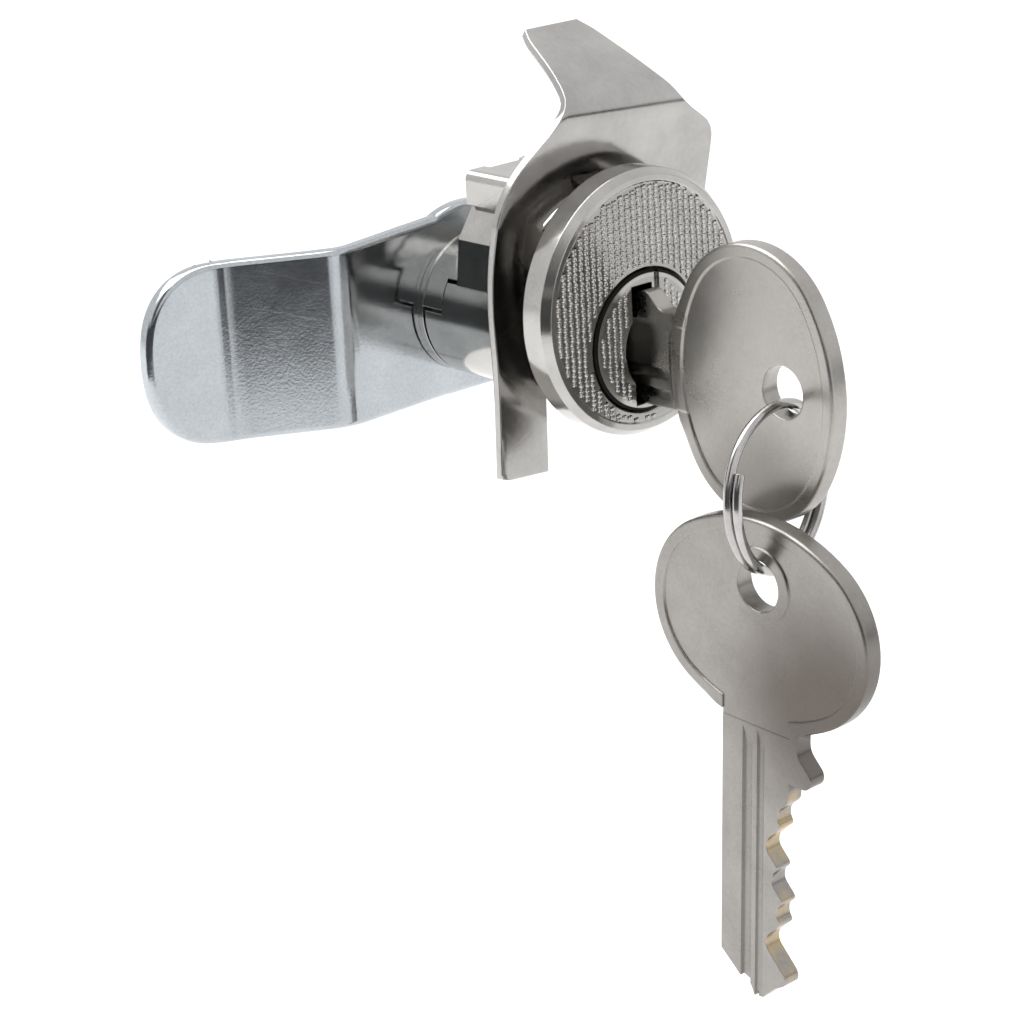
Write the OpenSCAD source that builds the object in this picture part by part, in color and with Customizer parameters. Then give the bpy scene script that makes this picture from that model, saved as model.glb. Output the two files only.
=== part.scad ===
// Mailbox lock with its retaining clip, offset cam, split ring and two keys.
// The lock axis is Y: the face looks toward -Y and the cam is at +Y.
// The plane y = 0 is the back of the head, which seats on the door.

/* [Head and body] */
// Diameter of the round head
head_d = 22.2; // [21.6:0.1:23]
// Thickness of the head in front of the door
head_t = 2.8; // [2.4:0.1:3.4]
// Height of the head's centre above the lock axis
head_rise = 3.15; // [2.9:0.05:3.4]
// Diameter of the round neck that fills the door hole
neck_d = 18.6; // [18:0.1:18.9]
// Length of the body behind the door plane
body_len = 14.2; // [14:0.1:15]
// Width of the pin housing on top of the barrel
bible_w = 8.2; // [8:0.1:8.8]
// Height of the top of the pin housing above the lock axis
bible_top = 12.7; // [12.3:0.1:13]
// Outside diameter of the barrel
barrel_d = 12.6; // [12.4:0.1:13]

/* [Plug and pins] */
// Diameter of the plug's face collar
collar_d = 11.8; // [11.6:0.1:12]
// Diameter of the plug behind its collar
plug_d = 11; // [10.9:0.05:11.1]
// Distance of the last pin from the back of the body
pin_last = 1.5; // [1.4:0.05:1.7]
// Distance between neighbouring pins
pin_pitch = 2.95; // [2.7:0.05:3]
// Diameter of the pins
pin_d = 2.1; // [1.8:0.05:2.15]
// Length of the driver pins
driver_len = 2.8; // [2.4:0.1:3]
// Wire diameter of the driver springs
spring_wire = 0.26; // [0.2:0.02:0.3]
// Turns of each driver spring
spring_turns = 5; // [4:1:6]

/* [Cam] */
// Distance from the door plane to the front of the cam
cam_y = 18.9; // [18.5:0.1:19.5]
// Sheet thickness of the cam
cam_t = 1.6; // [1.2:0.1:1.8]
// Width of the cam's blade
cam_w = 15.8; // [14:0.1:16.6]
// Diameter of the cam's hub
cam_hub_d = 17.4; // [17:0.1:18.4]
// Distance from the lock axis to the cam's tip
cam_reach = 30.7; // [30:0.1:36]
// Rearward step of the cam's blade
cam_step = 5.1; // [4:0.1:6]

/* [Clip] */
// Sheet thickness of the retaining clip
clip_t = 0.7; // [0.5:0.05:0.8]
// Width of the clip across its legs
clip_w = 23.4; // [23:0.1:24.4]
// Turn of the clip on the neck
clip_turn = 4; // [0:0.5:5]

/* [Keys and ring] */
// Height of the key's bow
bow_w = 23; // [21:0.1:23.6]
// Length of the key's bow
bow_l = 17.8; // [17:0.1:18.6]
// Thickness of the bow
bow_t = 1.8; // [1.6:0.1:2]
// Thickness of the key blade
blade_t = 1.6; // [1.4:0.05:1.7]
// Height of the uncut key blade
blade_h = 7.2; // [7:0.1:7.4]
// Hole in the bow
bow_hole_d = 4.4; // [4.2:0.1:4.8]
// Wire diameter of the split ring
ring_wire = 0.85; // [0.7:0.05:1]
// Diameter of the split ring at the middle of its wire
ring_d = 13.4; // [13.2:0.1:13.6]

/* [Hidden] */
$fn = 64;

// Radial clearance of a turning or sliding fit
run_gap = 0.05;
// Clearance of the key in its keyway, each side
key_gap = 0.1;
// Longer than any piece, for cuts that go right through
far = 60;

head_r = head_d / 2;
neck_r = neck_d / 2;
plug_r = plug_d / 2;
collar_r = collar_d / 2;
barrel_r = barrel_d / 2;
bible_half = bible_w / 2;
pin_r = pin_d / 2;

// Depth of the plug collar's seat behind the face
collar_depth = 2.3;
// Chamfer of the head's front edge and the step of its border
head_chamfer = 0.7;
border_w = 0.5;
border_h = 0.15;
face_y = -head_t + border_h;
// Broken edges of the plug's face and of the bore round it
plug_edge = 0.25;
bore_edge = 0.2;
// Half width of the neck in the door and in the clip groove
neck_half = 7.4;
groove_half = 6.3;
// Clip groove behind the door plane
groove_start = 0.6;
groove_end = 4.4;
// Radius of the neck inside the clip groove
groove_r = neck_r - 0.2;
// Flank of the body beside the pin housing, from its low ledge up to the overhanging cap
flank_half = 5.75;
flank_low = 3.1;
flank_top_half = 5.25;
flank_mid = 7.1;
cap_low = 9.8;
cap_neck = bible_half - 0.7;
bible_corner = 0.8;

// Slot and plate that close the spring chambers
cover_t = 0.5;
cover_half = 1.9;
cover_seat = bible_top - 0.6;
cover_len = body_len - 0.7;

// Pin stack: the shear line lies at the plug's surface
pin_bore = pin_r + run_gap;
shear_low = sqrt(plug_r * plug_r - pin_r * pin_r) - 0.03;
driver_low = plug_r + 2 * run_gap;
driver_top = driver_low + driver_len;
function pin_y(i) = body_len - pin_last - pin_pitch * (4 - i);
// Height of the key under each pin, above the back of the blade
key_roots = [6.1, 4.9, 5.55, 6.1, 5];

// Key: heights are taken from the back of the blade
key_axis = -1.4;
blade_back = key_axis - 3.75;
key_shoulder = -head_t + 0.4;
key_reach = 12.85;
bow_y = key_shoulder - key_reach;
bow_hole_y = bow_y - 3.4;
key_tip = 18.5;
root_half = 0.45;
lug_h = 9.6;
lug_scoop = 8.1;
lug_r = 0.9;
lug_fillet = 1.5;
rim_w = 1.1;
rim_h = 0.14;
boss_d = bow_hole_d + 2;
ward_depth = 0.45;
// Grooves of the blade, as heights above its back, on its left and right sides
left_wards = [[0.7, 1.5], [2.4, 3.3]];
right_wards = [[2.2, 3.3], [3.8, 4.6]];
// The grooves run out in front of the shoulder
groove_y = key_shoulder - 3.6;
groove_run = 1.6;

// Recess round the keyway in the plug's face, with a bulge on its left
mouth_depth = 2;
mouth_left = 1.65;
mouth_top = 4.8;
bulge_out = 0.95;
bulge_half = 2.6;
bulge_z = -0.7;
bulge_r = (pow(bulge_half, 2) + pow(bulge_out, 2)) / (2 * bulge_out);

// Index notch in the plug's face
index_x = 1.2;
index_w = 0.6;
index_len = 2.3;
index_depth = 0.3;

// Stop: the collar on the plug's tail turns against a stepped lug of the body
lug_step_y = body_len + 1.6;
lug_step_z = flank_low;
lug_y = lug_step_y + 2.2;
lug_z = 0.5;
hub_r = 5.15;
lug_in = hub_r + 0.3;
stop_gap = 0.3;
stop_front = body_len + 0.2;
stop_step = lug_step_y + 0.2;
flange_front = lug_y + 0.3;
flange_r = 6.3;
stop_r = barrel_r - 0.1;
tail_r = 3.9;
tail_half = 2.8;
tail_end = cam_y + cam_t - 0.15;
tail_gap = 0.04;
screw_r = 1.9;
screw_start = key_tip + 0.2;

washer_t = 0.7;
washer_r = 4.3;
screw_head_r = 3.7;
screw_head_h = 2.1;
screw_seat = cam_y + cam_t + washer_t;

cam_bend = 1.6;
cam_bend_x = -14.3;
cam_slope = 8.7;

// Clip outline, measured from the head's centre
clip_half = clip_w / 2;
clip_low = -13.8;
clip_low_right = -11.2;
clip_low_y = 1.8;
clip_bow = [[2.2, -5.4, 1.5], [3.2, 1.8, 9]];
clip_crease_y = 0.9;
clip_crease_r = 1.2;
clip_tip_y = 8.2;
clip_throat = 7.05;
clip_open_r = neck_r + 0.6;
clip_neck = 15.9;
clip_tip = 21;
clip_end = clip_tip + 0.6;
clip_right = [[clip_half, clip_low_right, 0.9], [clip_half, 12.9, 1.2], [7.9, 15.2, 1.5], [6.2, 17.5, 3],
    [3.6, clip_end, 1.2]];
clip_left = [[-3.8, clip_end, 1.2], [-5.6, 15.7, 4], [-clip_half, 9.9, 4], [-clip_half, clip_low, 0.9]];

// Places where the spare key and the ring hang
spare_hole = [-4.7, -19.9, -15.9];
spare_yaw = 1.4;
spare_tilt = 4.2;
spare_lean = -0.9;
key_hole = [0, bow_hole_y, key_axis];
ring_mid = (key_hole + spare_hole) / 2;
ring_yaw = 13;
ring_lean = -0.63;

function unit(v) = v / norm(v);

// Points of an arc of radius r that rounds the corner q between p and s
function arc(p, q, s, r, n = 6) =
    let (u = unit(p - q), v = unit(s - q), half = acos(u * v) / 2, c = q + unit(u + v) * r / sin(half))
    let (a = q + u * r / tan(half) - c, b = q + v * r / tan(half) - c)
    let (a0 = atan2(a.y, a.x), turn = atan2(a.x * b.y - a.y * b.x, a * b))
    [for (i = [0:n]) c + r * [cos(a0 + turn * i / n), sin(a0 + turn * i / n)]];

// A path whose inner corners are rounded; each point is [x, y, radius]
function bent(path) =
    let (n = len(path), p = [for (k = path) [k.x, k.y]])
    [for (i = [0:n - 1]) each i == 0 || i == n - 1 ? [p[i]] : arc(p[i - 1], p[i], p[i + 1], path[i].z)];

// The same path moved sideways by d, with its radii kept concentric
function beside(path, d) =
    let (n = len(path), p = [for (k = path) [k.x, k.y]])
    [for (i = [0:n - 1])
        let (u = unit(p[max(i, 1)] - p[max(i, 1) - 1]), v = unit(p[min(i + 1, n - 1)] - p[min(i, n - 2)]))
        let (m = unit(u + v), side = [-m.y, m.x], turn = u.x * v.y - u.y * v.x)
        let (q = p[i] + side * d / (side * [-u.y, u.x]))
        [q.x, q.y, path[i].z - sign(turn) * d]];

// Outline of a bent strip of thickness d
function strip(path, d) =
    let (back = bent(beside(path, d)), n = len(back))
    concat(bent(path), [for (i = [n - 1:-1:0]) back[i]]);

// Extrudes an x-z drawing from y0 to y1
module along_y(y0, y1) {
    translate([0, y1, 0])
        rotate([90, 0, 0])
            linear_extrude(height = y1 - y0)
                children();
}

// Extrudes a y-z drawing from x0 to x1
module along_x(x0, x1) {
    translate([x0, 0, 0])
        rotate([90, 0, 90])
            linear_extrude(height = x1 - x0)
                children();
}

// Turns an r-y drawing about the lock axis
module lathe() {
    rotate([-90, 0, 0])
        rotate_extrude()
            children();
}

module rod(r, y0, y1) {
    along_y(y0, y1)
        circle(r);
}

// Round section with two flats
module double_d(r, half) {
    intersection() {
        circle(r);
        square([2 * half, 2 * r + 1], center = true);
    }
}

module head_blank() {
    translate([0, 0, head_rise])
        lathe()
            polygon([[0, 0], [head_r, 0], [head_r, -head_t + head_chamfer],
                [head_r - 0.5, -head_t], [head_r - 0.5 - border_w, -head_t],
                [head_r - 0.5 - border_w - border_h, -head_t + border_h], [0, -head_t + border_h]]);
}

module body_section() {
    circle(barrel_r);
    polygon([[-flank_half, flank_low], [flank_half, flank_low], [flank_top_half, flank_mid],
        [cap_neck, cap_low], [-cap_neck, cap_low], [-flank_top_half, flank_mid]]);
    bible_section();
}

module bible_section() {
    translate([-cap_neck, 0])
        square([2 * cap_neck, cap_low + 1]);
    translate([-bible_half, cap_low])
        square([bible_w, bible_top - bible_corner - cap_low]);
    translate([-bible_half + bible_corner, cap_low])
        square([bible_w - 2 * bible_corner, bible_top - cap_low]);
    for (s = [-1, 1])
        translate([s * (bible_half - bible_corner), bible_top - bible_corner])
            circle(bible_corner);
}

module neck_section(r, half) {
    intersection() {
        translate([0, head_rise])
            circle(r);
        square([2 * half, far], center = true);
    }
}

module housing() {
    color("silver")
        difference() {
            union() {
                head_blank();
                along_y(-0.5, groove_start)
                    neck_section(neck_r, neck_half);
                along_y(0, groove_end)
                    neck_section(groove_r, groove_half);
                along_y(groove_end, body_len)
                    body_section();
                stop_lug();
            }
            rod(plug_r + run_gap, -head_t - 1, body_len);
            rod(collar_r + run_gap, -head_t - 1, -head_t + collar_depth + run_gap);
            bore_mouth();
            for (i = [0:4])
                translate([0, pin_y(i), 0])
                    cylinder(r = pin_bore, h = bible_top);
            translate([-cover_half - run_gap, 0.2, cover_seat])
                cube([2 * (cover_half + run_gap), body_len, 2]);
        }
}

// Broken edge of the bore in the head's face
module bore_mouth() {
    r = collar_r + run_gap;
    lathe()
        polygon([[0, face_y - 1], [r + bore_edge + 1, face_y - 1], [r, face_y + bore_edge],
            [0, face_y + bore_edge]]);
}

// Part of a ring on the lower left that stops the collar, longer below its step
module stop_lug() {
    along_y(body_len - 0.5, lug_step_y)
        lug_section(lug_step_z);
    along_y(body_len, lug_y)
        lug_section(lug_z);
}

module lug_section(top) {
    difference() {
        intersection() {
            circle(barrel_r);
            translate([-far, -far])
                square([far, far + top]);
        }
        circle(lug_in);
    }
}

module spring_cover() {
    color("gainsboro")
        translate([-cover_half, 0.3, cover_seat])
            cube([2 * cover_half, cover_len, cover_t]);
}

// Section of the key blade; grow widens it for the keyway
module blade_section(grow) {
    t = blade_t / 2 + grow;
    difference() {
        translate([-t, blade_back - grow])
            square([2 * t, blade_h + 2 * grow]);
        for (g = left_wards)
            translate([-t - 1, blade_back + g[0] + grow])
                square([1 + ward_depth, g[1] - g[0] - 2 * grow]);
        for (g = right_wards)
            translate([t - ward_depth, blade_back + g[0] + grow])
                square([1 + ward_depth, g[1] - g[0] - 2 * grow]);
    }
}

module plug() {
    color("lightgray")
        difference() {
            union() {
                lathe()
                    polygon([[0, -head_t], [collar_r - plug_edge, -head_t], [collar_r, -head_t + plug_edge],
                        [collar_r, -head_t + collar_depth], [0, -head_t + collar_depth]]);
                rod(plug_r, -head_t + 0.5, body_len - 2 * run_gap);
                along_y(body_len - 1, tail_end)
                    double_d(tail_r, tail_half);
            }
            along_y(-head_t - 1, key_tip + 0.15)
                blade_section(key_gap);
            for (i = [0:4])
                translate([0, pin_y(i), blade_back + key_roots[i] - 0.3])
                    cylinder(r = pin_bore, h = plug_r * 2);
            rod(screw_r + run_gap, screw_start, tail_end + 1);
            along_y(-head_t - 1, -head_t + mouth_depth)
                mouth_section();
            index_notch();
        }
}

// Small mark at the top of the plug's face
module index_notch() {
    translate([index_x - index_w / 2, -head_t - 1, collar_r - index_len])
        cube([index_w, 1 + index_depth, index_len]);
}

// Opening of the keyway's recess; the key's right side is its right wall
module mouth_section() {
    right = blade_t / 2 + key_gap;
    low = blade_back - key_gap;
    translate([-mouth_left, low])
        square([mouth_left + right, mouth_top - low]);
    intersection() {
        translate([bulge_r - mouth_left - bulge_out, bulge_z])
            circle(bulge_r);
        translate([-far, -far / 2])
            square([far, far]);
    }
}

module key_pin(i) {
    low = blade_back + key_roots[i] + 0.03;
    point = pin_r - root_half + 0.1;
    color("goldenrod")
        translate([0, pin_y(i), low]) {
            cylinder(r1 = root_half - 0.1, r2 = pin_r, h = point);
            translate([0, 0, point])
                cylinder(r = pin_r, h = shear_low - low - point);
        }
}

module driver_pin(i) {
    color("goldenrod")
        translate([0, pin_y(i), driver_low]) {
            cylinder(r = pin_r, h = driver_len - 0.25);
            translate([0, 0, driver_len - 0.25])
                cylinder(r1 = pin_r, r2 = pin_r - 0.25, h = 0.25);
        }
}

module driver_spring(i) {
    low = driver_top + spring_wire / 2 + 0.02;
    high = cover_seat - spring_wire / 2 - 0.02;
    color("dimgray")
        translate([0, pin_y(i), low])
            coil(pin_r - 0.1 - spring_wire / 2, spring_wire / 2, high - low, spring_turns);
}

// Helical wire with closed ends
module coil(r, w, h, turns) {
    sides = 6;
    steps = turns * 14;
    ring = [for (s = [0:steps], k = [0:sides - 1])
        let (a = 360 * turns * s / steps, b = 360 * k / sides)
        [(r + w * cos(b)) * cos(a), (r + w * cos(b)) * sin(a), h * s / steps + w * sin(b)]];
    walls = [for (s = [0:steps - 1], k = [0:sides - 1])
        let (a = s * sides + k, b = s * sides + (k + 1) % sides)
        [a, b, b + sides, a + sides]];
    first = [for (k = [sides - 1:-1:0]) k];
    last = [for (k = [0:sides - 1]) steps * sides + k];
    polyhedron(points = ring, faces = concat(walls, [first, last]));
}

module stop_collar() {
    color("lightgray")
        difference() {
            union() {
                rod(hub_r, stop_front, cam_y);
                rod(flange_r, flange_front, cam_y);
                along_y(stop_front, cam_y)
                    stop_section(lug_step_z);
                along_y(stop_step, cam_y)
                    stop_section(lug_z);
            }
            along_y(stop_front - 1, cam_y + 1)
                double_d(tail_r + tail_gap, tail_half + tail_gap);
            along_y(stop_front - 1, key_tip + 0.15)
                blade_section(key_gap);
        }
}

// Upper part of the collar: its left end lies over the lug, its right end meets it after a quarter turn
module stop_section(top) {
    intersection() {
        circle(stop_r);
        union() {
            translate([-far, top + stop_gap])
                square(far);
            translate([0, stop_gap])
                square(far);
        }
    }
}

module cam_outline() {
    tip = cam_reach - cam_w / 2;
    circle(cam_hub_d / 2);
    translate([-tip, -cam_w / 2])
        square([tip, cam_w]);
    translate([-tip, 0])
        circle(cam_w / 2);
}

module cam() {
    path = [[far, cam_y, 0], [cam_bend_x, cam_y, cam_bend + cam_t],
        [cam_bend_x - cam_slope, cam_y + cam_step, cam_bend], [-cam_reach - 2, cam_y + cam_step, 0]];
    color("lightsteelblue")
        difference() {
            intersection() {
                translate([0, 0, -far / 2])
                    linear_extrude(height = far)
                        polygon(strip(path, -cam_t));
                along_y(cam_y - 1, cam_y + cam_step + cam_t + 1)
                    cam_outline();
            }
            along_y(cam_y - 1, cam_y + cam_t + 1)
                double_d(tail_r + tail_gap, tail_half + tail_gap);
        }
}

module lock_washer() {
    color("silver")
        along_y(cam_y + cam_t, screw_seat)
            difference() {
                circle(washer_r);
                circle(screw_r + 0.15);
            }
}

module cam_screw() {
    color("silver")
        difference() {
            union() {
                rod(screw_r, screw_start + 0.3, screw_seat + 0.5);
                rod(screw_head_r, screw_seat, screw_seat + screw_head_h - 0.6);
                lathe()
                    polygon([[0, screw_seat], [screw_head_r, screw_seat + screw_head_h - 0.6],
                        [screw_head_r - 0.9, screw_seat + screw_head_h], [0, screw_seat + screw_head_h]]);
            }
            for (a = [0, 90])
                rotate([0, a, 0])
                    translate([-2, screw_seat + 0.7, -0.4])
                        cube([4, screw_head_h, 0.8]);
        }
}

module clip_outline() {
    difference() {
        polygon(bent(concat([[0, clip_low_right, 0]], clip_right, clip_left, [[0, clip_low, 0]])));
        circle(clip_open_r);
        translate([-clip_throat, clip_low - 1])
            square([2 * clip_throat, -clip_low + 1]);
    }
}

module mounting_clip() {
    path = [[clip_low_y, clip_low - 1, 0], each clip_bow, [clip_crease_y, clip_neck, clip_crease_r],
        [clip_tip_y, clip_tip, 0]];
    color("silver")
        translate([0, 0, head_rise])
            rotate([0, clip_turn, 0])
                intersection() {
                    along_x(-far / 2, far / 2)
                        polygon(strip(path, -clip_t));
                    along_y(0, far)
                        clip_outline();
                }
}

// Oval made of four tangent arcs, long axis upright
module oval(a, b, r) {
    side = (pow(a - r, 2) + b * b - r * r) / (2 * (b - r));
    meet = side * (a - r) / (side - r);
    for (s = [-1, 1])
        translate([0, s * (a - r)])
            circle(r);
    intersection() {
        translate([side - b, 0])
            circle(side);
        translate([b - side, 0])
            circle(side);
        square([4 * b, 2 * meet], center = true);
    }
}

module blade_profile() {
    top = blade_back + blade_h;
    difference() {
        polygon([[bow_y, blade_back], [key_tip - 3.3, blade_back], [key_tip - 1.5, blade_back + 2.2],
            [key_tip - 1.1, blade_back + 3.4], [key_tip, blade_back + 3.9], [key_tip - 0.1, blade_back + 4.4],
            [key_tip - 1.7, blade_back + 6], [key_tip - 2.4, top], [bow_y, top]]);
        for (i = [0:4])
            translate([pin_y(i), blade_back + key_roots[i]])
                polygon([[-root_half, 0], [root_half, 0], [root_half + 4, 4], [-root_half - 4, 4]]);
    }
}

// Hooked lug beside the blade that stops the key at the face
module key_lug() {
    tip = [key_shoulder - lug_r, blade_back + lug_h - lug_r];
    crest = tip + lug_r * [-sin(45), sin(45)];
    scoop = blade_back + lug_scoop;
    foot = crest.x - (crest.y - scoop);
    polygon(concat([[bow_y, 0]], bent([[bow_y, scoop, 0], [foot, scoop, lug_fillet], [crest.x, crest.y, 0]]),
        [tip, [key_shoulder, tip.y], [key_shoulder, 0]]));
    translate(tip)
        circle(lug_r);
}

// Ramp that fills the start of a groove on one side of the blade
module groove_end(g, side) {
    t = blade_t / 2;
    translate([0, 0, blade_back + g[0]])
        linear_extrude(height = g[1] - g[0])
            polygon([[side * (t - ward_depth), groove_y], [side * t, groove_y],
                [side * (t - ward_depth), groove_y + groove_run]]);
}

module key_at_lock() {
    difference() {
        union() {
            along_x(-bow_t / 2, bow_t / 2)
                translate([bow_y, key_axis])
                    oval(bow_w / 2, bow_l / 2, bow_l / 2 - 1);
            intersection() {
                along_x(-bow_t, bow_t)
                    blade_profile();
                along_y(bow_y, key_tip + 1)
                    blade_section(0);
            }
            along_x(-blade_t / 2, blade_t / 2) {
                key_lug();
                translate([bow_y, blade_back])
                    square([groove_y - bow_y, blade_h]);
            }
            for (g = left_wards)
                groove_end(g, -1);
            for (g = right_wards)
                groove_end(g, 1);
        }
        for (s = [-1, 1])
            along_x(s * bow_t / 2 - rim_h, s * bow_t / 2 + rim_h)
                difference() {
                    union() {
                        translate([bow_y, key_axis])
                            oval(bow_w / 2 - rim_w, bow_l / 2 - rim_w, bow_l / 2 - 1 - rim_w);
                        translate([bow_y, blade_back])
                            square([bow_l / 2, blade_h]);
                    }
                    if (s > 0)
                        translate([bow_hole_y, key_axis])
                            circle(d = boss_d);
                }
        along_x(-bow_t, bow_t)
            translate([bow_hole_y, key_axis])
                circle(d = bow_hole_d);
    }
}

module key_inserted() {
    color("lightgray")
        key_at_lock();
}

module key_spare() {
    color("lightgray")
        translate(spare_hole)
            rotate([0, 0, spare_yaw])
                rotate([spare_tilt, 0, 0])
                    rotate([0, spare_lean, 0])
                        rotate(a = 180, v = [0, 1, -1])
                            translate(-key_hole)
                                key_at_lock();
}

module key_ring() {
    color("silver")
        translate(ring_mid)
            rotate([0, 0, ring_yaw])
                rotate([90 + ring_lean, 0, 0])
                    rotate_extrude()
                        for (s = [-1, 1])
                            translate([ring_d / 2, s * ring_wire * 0.46])
                                circle(d = ring_wire);
}

housing();
spring_cover();
plug();
key_pin(0);  // key_pin_1
key_pin(1);  // key_pin_2
key_pin(2);  // key_pin_3
key_pin(3);  // key_pin_4
key_pin(4);  // key_pin_5
driver_pin(0);  // driver_pin_1
driver_pin(1);  // driver_pin_2
driver_pin(2);  // driver_pin_3
driver_pin(3);  // driver_pin_4
driver_pin(4);  // driver_pin_5
driver_spring(0);  // driver_spring_1
driver_spring(1);  // driver_spring_2
driver_spring(2);  // driver_spring_3
driver_spring(3);  // driver_spring_4
driver_spring(4);  // driver_spring_5
stop_collar();
cam();
lock_washer();
cam_screw();
mounting_clip();
key_inserted();
key_spare();
key_ring();
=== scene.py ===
import math
import bpy
from mathutils import Matrix, Vector


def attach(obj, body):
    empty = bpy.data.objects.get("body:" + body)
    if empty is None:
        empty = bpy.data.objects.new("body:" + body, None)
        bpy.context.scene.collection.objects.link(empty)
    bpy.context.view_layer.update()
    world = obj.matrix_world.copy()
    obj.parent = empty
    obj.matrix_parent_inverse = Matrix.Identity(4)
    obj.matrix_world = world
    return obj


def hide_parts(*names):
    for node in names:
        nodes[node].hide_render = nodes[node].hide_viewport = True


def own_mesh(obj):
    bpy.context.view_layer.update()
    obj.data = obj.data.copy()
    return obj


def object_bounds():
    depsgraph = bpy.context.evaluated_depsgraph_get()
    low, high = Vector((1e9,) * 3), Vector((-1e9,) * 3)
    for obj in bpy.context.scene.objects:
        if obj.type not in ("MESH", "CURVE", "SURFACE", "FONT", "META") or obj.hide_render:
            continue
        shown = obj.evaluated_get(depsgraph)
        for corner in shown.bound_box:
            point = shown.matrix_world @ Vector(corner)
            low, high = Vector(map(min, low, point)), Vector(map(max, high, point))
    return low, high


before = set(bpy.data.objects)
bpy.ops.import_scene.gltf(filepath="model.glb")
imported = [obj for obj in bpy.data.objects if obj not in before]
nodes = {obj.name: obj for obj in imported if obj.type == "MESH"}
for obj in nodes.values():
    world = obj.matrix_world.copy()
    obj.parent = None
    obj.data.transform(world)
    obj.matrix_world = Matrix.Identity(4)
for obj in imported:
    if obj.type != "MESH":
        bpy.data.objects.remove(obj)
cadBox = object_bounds()
mm = 0.001
print("frame loaded,", len(nodes), "nodes")


def deselectAll():
    if bpy.context.object and bpy.context.object.mode != "OBJECT":
        bpy.ops.object.mode_set(mode="OBJECT")
    bpy.ops.object.select_all(action="DESELECT")


def takeOver(name):
    piece = bpy.context.object
    piece.name = name
    piece.data.name = name
    return piece


def activate(piece):
    deselectAll()
    piece.select_set(True)
    bpy.context.view_layer.objects.active = piece


def copyOfNode(node, name):
    source = nodes[node]
    piece = bpy.data.objects.new(name, source.data.copy())
    bpy.context.scene.collection.objects.link(piece)
    piece.data.materials.clear()
    activate(piece)
    bpy.ops.object.mode_set(mode="EDIT")
    bpy.ops.mesh.select_all(action="SELECT")
    bpy.ops.mesh.remove_doubles(threshold=0.002 * mm)
    bpy.ops.object.mode_set(mode="OBJECT")
    return piece


def applyAll(piece):
    activate(piece)
    for modifier in list(piece.modifiers):
        bpy.ops.object.modifier_apply(modifier=modifier.name)


def smoothBy(piece, degrees):
    activate(piece)
    bpy.ops.object.shade_smooth_by_angle(angle=math.radians(degrees))


def finishPiece(piece, body, slot, material, *replaced):
    piece.data.materials.clear()
    piece.data.materials.append(material)
    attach(piece, body)
    if replaced:
        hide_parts(*replaced)


# shader helpers
def addNode(tree, kind, **settings):
    node = tree.nodes.new(kind)
    for key, value in settings.items():
        setattr(node, key, value)
    return node


def setInputs(node, **values):
    for key, value in values.items():
        node.inputs[key.replace("_", " ")].default_value = value
    return node


def join(tree, source, target):
    tree.links.new(source, target)


def newGroup(name, inputs, outputs):
    tree = bpy.data.node_groups.new(name, "ShaderNodeTree")
    for label, value in inputs.items():
        socket = tree.interface.new_socket(name=label, in_out="INPUT", socket_type="NodeSocketFloat")
        socket.default_value = value
    for label, kind in outputs.items():
        tree.interface.new_socket(name=label, in_out="OUTPUT", socket_type=kind)
    start = addNode(tree, "NodeGroupInput")
    end = addNode(tree, "NodeGroupOutput")
    return tree, start, end


def mathNode(tree, operation, first, second):
    node = addNode(tree, "ShaderNodeMath", operation=operation)
    for socket, value in zip(node.inputs, (first, second)):
        if isinstance(value, (int, float)):
            socket.default_value = value
        else:
            join(tree, value, socket)
    return node.outputs[0]


# a soft edged window: 1 while the value lies between low and high
def band(tree, value, low, high, soft):
    rise = setInputs(addNode(tree, "ShaderNodeMapRange"), From_Min=low - soft, From_Max=low + soft)
    join(tree, value, rise.inputs["Value"])
    fall = setInputs(addNode(tree, "ShaderNodeMapRange"), From_Min=high - soft, From_Max=high + soft)
    fall.inputs["To Min"].default_value = 1.0
    fall.inputs["To Max"].default_value = 0.0
    join(tree, value, fall.inputs["Value"])
    return mathNode(tree, "MULTIPLY", rise.outputs[0], fall.outputs[0])


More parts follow.
